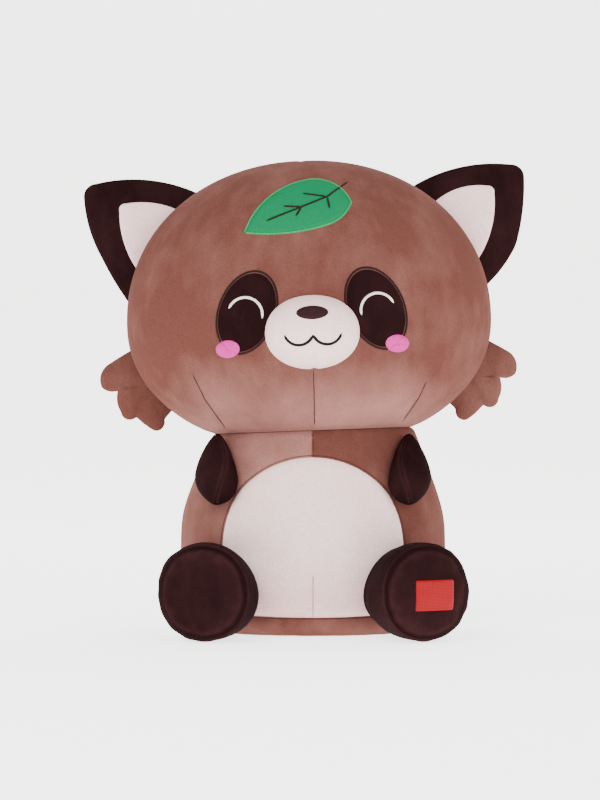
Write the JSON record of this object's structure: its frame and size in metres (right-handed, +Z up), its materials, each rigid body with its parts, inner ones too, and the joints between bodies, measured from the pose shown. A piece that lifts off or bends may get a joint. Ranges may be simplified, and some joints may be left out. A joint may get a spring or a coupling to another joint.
{
  "type": "stuffed toy tanuki",
  "caption": "Sitting stuffed tanuki with a wide round head, masked smiling eyes, pale muzzle and tummy, a leaf on its brow, soft ears, cheek tufts, arms, splayed feet and a short tail.",
  "frame": {"origin": "middle of the flat base of the torso, on the surface that the toy sits on", "axes": "+Z up through the neck and crown, -Y the way the face looks, +X to the right as seen from the front"},
  "size_m": [0.2852, 0.2329, 0.3],
  "materials": {
    "brown_plush": "short-pile plush",
    "dark_plush": "short-pile plush",
    "pale_plush": "short-pile plush",
    "dark_felt": "felt",
    "green_felt": "felt",
    "green_thread": "satin stitch",
    "dark_thread": "satin stitch",
    "nose_thread": "satin stitch",
    "mouth_thread": "satin stitch",
    "white_thread": "satin stitch",
    "pink_thread": "satin stitch",
    "red_ribbon": "woven ribbon",
    "white_ribbon": "satin ribbon",
    "fibre_fill": "polyester fibre",
    "pouch_cloth": "plain weave",
    "pellet_fill": "loose pellets"
  },
  "bodies": {
    "body": {"head_front_panel": "brown_plush", "head_back_left_panel": "brown_plush", "head_back_right_panel": "brown_plush", "head_stuffing": "fibre_fill", "muzzle_cover": "pale_plush", "muzzle_stuffing": "fibre_fill", "nose_embroidery": "nose_thread", "mouth_embroidery": "mouth_thread", "leaf_applique": "green_felt", "leaf_border": "green_thread", "leaf_vein_stitching": "dark_thread", "torso_front_panel": "brown_plush", "tummy_patch": "pale_plush", "torso_back_left_panel": "brown_plush", "torso_back_right_panel": "brown_plush", "base_panel": "brown_plush", "torso_stuffing": "fibre_fill", "pellet_pouch": "pouch_cloth", "pellets": "pellet_fill", "care_label": "white_ribbon", "left_eye_patch": "dark_felt", "right_eye_patch": "dark_felt", "left_eye_border": "dark_thread", "right_eye_border": "dark_thread", "left_eye_stitching": "white_thread", "right_eye_stitching": "white_thread", "left_blush": "pink_thread", "right_blush": "pink_thread"},
    "right_leg": {"foot_label": "red_ribbon", "right_leg_cover": "dark_plush", "right_sole_panel": "dark_plush", "right_leg_stuffing": "fibre_fill"},
    "tail": {"tail_cover": "brown_plush", "tail_tip_cover": "dark_plush", "tail_stuffing": "fibre_fill"},
    "left_ear": {"left_ear_cover": "dark_plush", "left_ear_lining": "pale_plush", "left_ear_wadding": "fibre_fill"},
    "right_ear": {"right_ear_cover": "dark_plush", "right_ear_lining": "pale_plush", "right_ear_wadding": "fibre_fill"},
    "left_tuft": {"left_tuft_cover": "brown_plush", "left_tuft_wadding": "fibre_fill"},
    "right_tuft": {"right_tuft_cover": "brown_plush", "right_tuft_wadding": "fibre_fill"},
    "left_arm": {"left_arm_cover": "dark_plush", "left_arm_stuffing": "fibre_fill"},
    "right_arm": {"right_arm_cover": "dark_plush", "right_arm_stuffing": "fibre_fill"},
    "left_leg": {"left_leg_cover": "dark_plush", "left_sole_panel": "dark_plush", "left_leg_stuffing": "fibre_fill"}
  },
  "joints": [
    {"name": "left_ear_tip", "type": "hinge", "parent": "body", "child": "left_ear", "pos_m": [-0.10382, 0.00592, 0.25072], "axis": [-0.5518, -0.0122, -0.8339], "range_deg": [-20, 20], "stiffness_Nm_per_rad": 0.05},
    {"name": "right_ear_tip", "type": "hinge", "parent": "body", "child": "right_ear", "pos_m": [0.0946, 0.01008, 0.25764], "axis": [-0.6086, -0.0122, 0.7934], "range_deg": [-20, 20], "stiffness_Nm_per_rad": 0.05},
    {"name": "left_tuft_flap", "type": "hinge", "parent": "body", "child": "left_tuft", "pos_m": [-0.1092, 0.00574, 0.15926], "axis": [-0.5387, -0.0107, 0.8425], "range_deg": [-20, 20], "stiffness_Nm_per_rad": 0.01},
    {"name": "right_tuft_flap", "type": "hinge", "parent": "body", "child": "right_tuft", "pos_m": [0.10635, 0.01026, 0.16679], "axis": [-0.4786, -0.0107, -0.878], "range_deg": [-20, 20], "stiffness_Nm_per_rad": 0.01},
    {"name": "left_arm_lift", "type": "hinge", "parent": "body", "child": "left_arm", "pos_m": [-0.05372, -0.02723, 0.1215], "axis": [-0.7547, 0.6561, 0], "range_deg": [0, 40], "stiffness_Nm_per_rad": 0.06},
    {"name": "right_arm_lift", "type": "hinge", "parent": "body", "child": "right_arm", "pos_m": [0.05372, -0.02723, 0.1215], "axis": [-0.7547, -0.6561, 0], "range_deg": [0, 40], "stiffness_Nm_per_rad": 0.06},
    {"name": "left_leg_lift", "type": "hinge", "parent": "body", "child": "left_leg", "pos_m": [-0.04194, -0.04568, 0.0508], "axis": [-0.9272, 0.3746, 0], "range_deg": [0, 12], "stiffness_Nm_per_rad": 0.8},
    {"name": "right_leg_lift", "type": "hinge", "parent": "body", "child": "right_leg", "pos_m": [0.03747, -0.04846, 0.0508], "axis": [-0.8829, -0.4695, 0], "range_deg": [0, 12], "stiffness_Nm_per_rad": 0.8},
    {"name": "tail_lift", "type": "hinge", "parent": "body", "child": "tail", "pos_m": [0, 0.069, 0.043], "axis": [1, 0, 0], "range_deg": [0, 45], "stiffness_Nm_per_rad": 0.08}
  ]
}
